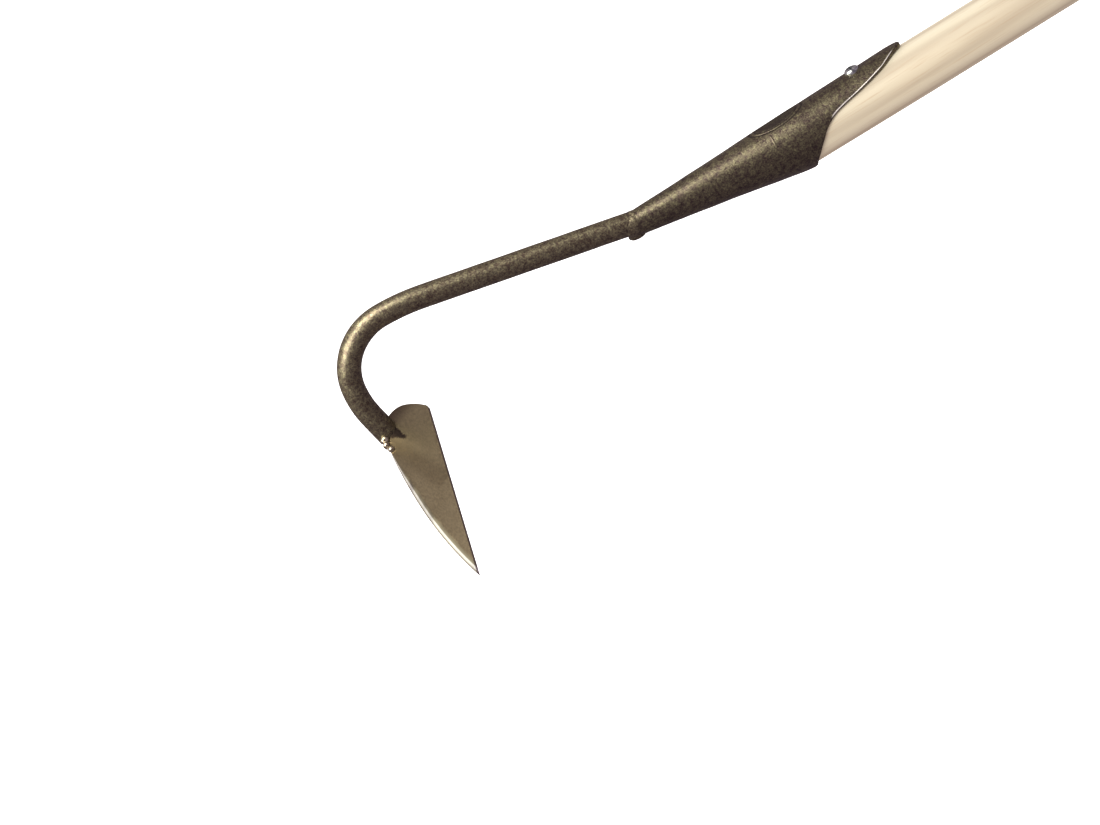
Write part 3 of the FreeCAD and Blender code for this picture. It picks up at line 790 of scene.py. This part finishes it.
def zinc_material():
    """Bright zinc plate, a little cloudy."""
    graph = Graph("zinc_steel")
    where = graph.place()
    cloud = graph.noise(where, 500, 4, 0.6)
    colour = graph.ramp(cloud, (0.38, (0.30, 0.33, 0.32)), (0.62, (0.82, 0.87, 0.84)))
    rough = graph.levels(cloud, 0.3, 0.7, 0.16, 0.34)
    normal = graph.bump(cloud, 0.00006, 0.4)
    return graph.finish(colour, rough, normal, metal=0.95)


def wood_material():
    """Pale ash: long growth bands, short dark pores and a soft sheen."""
    graph = Graph("ash_wood")
    wander = graph.noise(graph.place(scale=(0.25, 1, 1)), 30, 3, 0.5)
    bands = graph.add("TexWave", wave_type="RINGS", rings_direction="X")
    bands.inputs["Scale"].default_value = 55
    bands.inputs["Distortion"].default_value = 5.0
    bands.inputs["Detail"].default_value = 3.0
    bands.inputs["Detail Scale"].default_value = 0.8
    graph.join(graph.place(scale=(0.07, 1, 1), turn=(0, 0.01, 0.015), move=(0, 0.012, 0.03)),
               bands.inputs["Vector"])
    pores = graph.noise(graph.place(scale=(0.03, 1, 1)), 1300, 3, 0.6)
    base = graph.ramp(bands.outputs["Fac"], (0.0, (0.575, 0.54, 0.44)),
                      (0.35, (0.675, 0.65, 0.53)), (1.0, (0.72, 0.70, 0.58)))
    tint = graph.ramp(wander, (0.3, (0.93, 0.86, 0.80)), (0.7, (1.03, 1.02, 1.0)))
    colour = graph.blend(0.9, base, tint, "MULTIPLY")
    dashes = graph.levels(pores, 0.52, 0.72)
    colour = graph.blend(graph.math("MULTIPLY", dashes, 0.35), colour, (0.46, 0.32, 0.20))
    rough = graph.levels(pores, 0.3, 0.7, 0.42, 0.58)
    relief = graph.bump(pores, 0.00012, 0.5)
    normal = graph.bump(bands.outputs["Fac"], 0.00012, 0.35, relief)
    graph.shader.inputs["Specular IOR Level"].default_value = 0.35
    return graph.finish(colour, rough, normal)


def floor_material():
    """White to the camera; it glows, dim in the tool's reflections and shade, with a bright
    glowing patch.
    """
    graph = Graph("floor")
    where = graph.place()
    cloud = graph.noise(where, 3, 2)
    colour = graph.ramp(cloud, (0.0, (0.90, 0.90, 0.90)), (1.0, (0.92, 0.92, 0.92)))
    graph.join(colour, graph.shader.inputs["Base Color"])
    graph.shader.inputs["Roughness"].default_value = 0.9
    graph.shader.inputs["Specular IOR Level"].default_value = 0.0
    reach = graph.add("VectorMath", operation="DISTANCE")
    graph.join(where, reach.inputs[0])
    reach.inputs[1].default_value = GLOW_PATCH_PLACE * MM
    glow_patch = graph.levels(reach.outputs["Value"], *GLOW_PATCH_FADE, 1.0, 0.0)
    dim = graph.add("Emission")
    seen = graph.add("LightPath")
    # the floor glows: a bright patch for the bevel to mirror, dim elsewhere, and pale warm
    # light cast into the tool's shade
    mirrored = graph.blend(glow_patch, (0.26, 0.205, 0.25), (1.7, 1.66, 1.5))
    cast = graph.blend(seen.outputs["Is Diffuse Ray"], mirrored, (0.90, 0.79, 0.75))
    graph.join(cast, dim.inputs["Color"])
    choose = graph.add("MixShader")
    graph.join(seen.outputs["Is Camera Ray"], choose.inputs[0])
    graph.join(dim.outputs[0], choose.inputs[1])
    graph.join(graph.shader.outputs[0], choose.inputs[2])
    graph.join(choose.outputs[0], graph.tree.nodes["Material Output"].inputs["Surface"])
    graph.material.cycles.emission_sampling = "NONE"
    return graph.material


# ---------------------------------------------------------------- studio

# a bright glowing patch on the floor, which the blade's bevel mirrors
GLOW_PATCH_PLACE = Vector((-590, 50, -16))
GLOW_PATCH_FADE = (0.045, 0.085)

CAMERA_TILT = 22.0
CAMERA_ROLL = 31.8
CAMERA_DISTANCE = 2000.0
CAMERA_AIM = Vector((-380.34, -52.86, 0))
CAMERA_LENS = 131.9


def camera_axes():
    """The camera's right, up and back ways, in the tool's frame."""
    tilt, roll = math.radians(CAMERA_TILT), math.radians(CAMERA_ROLL)
    right = Vector((math.cos(roll), -math.sin(roll) * math.cos(tilt),
                    math.sin(roll) * math.sin(tilt)))
    up = Vector((math.sin(roll), math.cos(roll) * math.cos(tilt),
                 -math.cos(roll) * math.sin(tilt)))
    return right, up, right.cross(up)


def make_camera():
    right, up, back = camera_axes()
    camera = bpy.data.objects.new("camera", bpy.data.cameras.new("camera"))
    bpy.context.scene.collection.objects.link(camera)
    camera.data.lens = CAMERA_LENS
    camera.data.sensor_width = 36
    camera.data.clip_end = 20
    turn = Matrix((right, up, back)).transposed().to_4x4()
    camera.matrix_world = Matrix.Translation((CAMERA_AIM + back * CAMERA_DISTANCE) * MM) @ turn
    bpy.context.scene.camera = camera


def make_floor():
    """A plain floor just under the tool."""
    low, _ = CAD_BOX
    mesh = bpy.data.meshes.new("floor")
    side = 6.0
    mesh.from_pydata([(-side, -side, low.z), (side, -side, low.z), (side, side, low.z),
                      (-side, side, low.z)], [], [(0, 1, 2, 3)])
    floor = bpy.data.objects.new("floor", mesh)
    floor.data.materials.append(floor_material())
    bpy.context.scene.collection.objects.link(floor)
    return floor


def add_light(name, position, aim, size, power, colour=(1, 1, 1)):
    """A round softbox, facing its aim."""
    lamp = bpy.data.lights.new(name, "AREA")
    lamp.shape = "DISK"
    lamp.size = size
    lamp.energy = power
    lamp.color = colour
    light = bpy.data.objects.new(name, lamp)
    light.location = position
    light.rotation_mode = "QUATERNION"
    light.rotation_quaternion = (Vector(position) - Vector(aim)).to_track_quat("Z", "Y")
    bpy.context.scene.collection.objects.link(light)
    return light


def link_light(light, state, *pieces):
    """Lets a light reach only some pieces (INCLUDE) or all but them (EXCLUDE)."""
    group = bpy.data.collections.new(light.name + "_reach")
    for number, piece in enumerate(pieces):
        group.objects.link(piece)
        group.collection_objects[number].light_linking.link_state = state
    light.light_linking.receiver_collection = group


def light_studio(floor, handle):
    """Softboxes behind the tool's back and beyond its bend, and one above for the wood."""
    middle = (CAD_BOX[0] + CAD_BOX[1]) / 2
    warm = (1.0, 0.97, 0.88)
    key = add_light("key", middle + Vector((-0.42, 0.92, 0.19)), middle, 0.4, 14, warm)
    side = add_light("side", middle + Vector((-0.78, 0.42, 0.22)), middle, 0.4, 8, warm)
    wood = add_light("wood_light", middle + Vector((-0.2, 0.70, 0.68)), middle, 0.6, 9.5, warm)
    glow = add_light("floor_glow", middle + Vector((0, 0, 3.0)), middle, 4.0, 260)
    glow.data.use_shadow = False
    link_light(key, "EXCLUDE", floor, handle)
    link_light(side, "EXCLUDE", floor, handle)
    link_light(wood, "INCLUDE", handle)
    link_light(glow, "INCLUDE", floor)


def make_room():
    """A room that is white to the camera, pale for the wood's shade and dim in the metal."""
    world = bpy.data.worlds.new("room")
    world.use_nodes = True
    nodes, links = world.node_tree.nodes, world.node_tree.links
    seen = nodes.new("ShaderNodeLightPath")
    shown = nodes["Background"].inputs["Color"]
    rays = (("Is Diffuse Ray", (0.62, 0.53, 0.50, 1)), ("Is Camera Ray", (1, 1, 1, 1)))
    for ray, colour in rays:
        choose = nodes.new("ShaderNodeMix")
        choose.data_type = "RGBA"
        choose.inputs[6].default_value = (0.24, 0.185, 0.25, 1)
        choose.inputs[7].default_value = colour
        links.new(seen.outputs[ray], choose.inputs[0])
        if shown.is_linked:
            links.new(shown.links[0].from_socket, choose.inputs[6])
        links.new(choose.outputs[2], shown)
    bpy.context.scene.world = world
    bpy.context.scene.view_settings.view_transform = "Standard"


def main():
    make_camera()
    floor = make_floor()
    make_room()
    # one lacquer in two copies: darker on the socket as painted shade, lighter on the rod and
    # its weld as painted light
    lacquer = lacquer_material("socket_lacquer_painted_darker", *SOCKET_LACQUER_PAINTED_DARKER)
    rod_lacquer_painted_lighter = lacquer_material("rod_lacquer_painted_lighter", *ROD_LACQUER_PAINTED_LIGHTER)
    place = blade_matrix()
    handle = make_handle(wood_material())
    light_studio(floor, handle)
    make_socket(lacquer)
    make_neck(rod_lacquer_painted_lighter, place)
    make_neck_weld(rod_lacquer_painted_lighter)
    make_blade(blade_material(place), place)
    make_blade_weld(weld_material(), place)
    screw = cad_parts["socket_screw"]
    zinc = zinc_material()
    for slot in screw.material_slots:
        slot.material = zinc


main()
